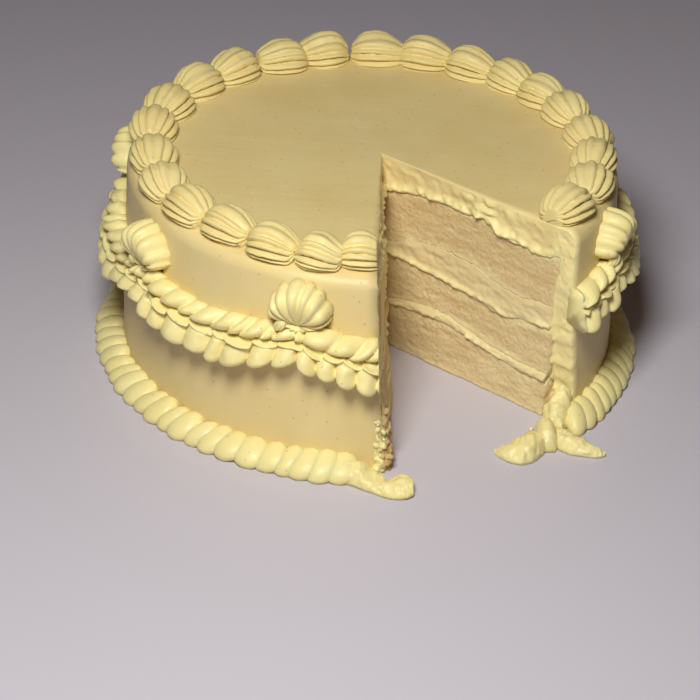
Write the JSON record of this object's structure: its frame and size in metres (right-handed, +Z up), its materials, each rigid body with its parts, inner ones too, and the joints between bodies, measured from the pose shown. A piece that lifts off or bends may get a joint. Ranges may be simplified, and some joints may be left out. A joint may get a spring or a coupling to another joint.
{
  "type": "layer cake",
  "caption": "Round layer cake in pale vanilla buttercream, with piped shells, swags, fans and a foot rope, and a wedge slice cut out.",
  "frame": {"origin": "centre of the whole cake's round foot, on the surface that it stands on", "axes": "+Z up; the cut-out slice opens towards -Y and +X"},
  "size_m": [0.2444, 0.2506, 0.1055],
  "materials": {
    "sponge": "matte",
    "filling": "satin",
    "buttercream": "satin"
  },
  "bodies": {
    "root": {"sponge_bottom": "sponge", "sponge_middle": "sponge", "sponge_top": "sponge", "filling_lower": "filling", "filling_upper": "filling", "icing_coat": "buttercream", "shell_left_01": "buttercream", "shell_left_02": "buttercream", "shell_left_03": "buttercream", "shell_left_04": "buttercream", "shell_left_05": "buttercream", "shell_left_06": "buttercream", "shell_left_07": "buttercream", "shell_left_08": "buttercream", "shell_left_09": "buttercream", "shell_left_10": "buttercream", "shell_left_11": "buttercream", "shell_left_12": "buttercream", "shell_left_13": "buttercream", "shell_right_01": "buttercream", "shell_right_02": "buttercream", "shell_right_03": "buttercream", "shell_right_04": "buttercream", "shell_right_05": "buttercream", "shell_right_06": "buttercream", "shell_right_07": "buttercream", "shell_right_08": "buttercream", "shell_right_09": "buttercream", "shell_right_10": "buttercream", "fan_1": "buttercream", "fan_2": "buttercream", "fan_3": "buttercream", "fan_4": "buttercream", "fan_5": "buttercream", "fan_6": "buttercream", "fan_7": "buttercream", "swag_1": "buttercream", "swag_2": "buttercream", "swag_3": "buttercream", "swag_4": "buttercream", "swag_5": "buttercream", "swag_6": "buttercream", "swag_7": "buttercream", "swag_8": "buttercream", "base_rope": "buttercream", "smear_left": "buttercream", "lump_corner": "buttercream", "lump_barrel": "buttercream", "lump_wide": "buttercream", "curl_right": "buttercream"}
  },
  "joints": []
}
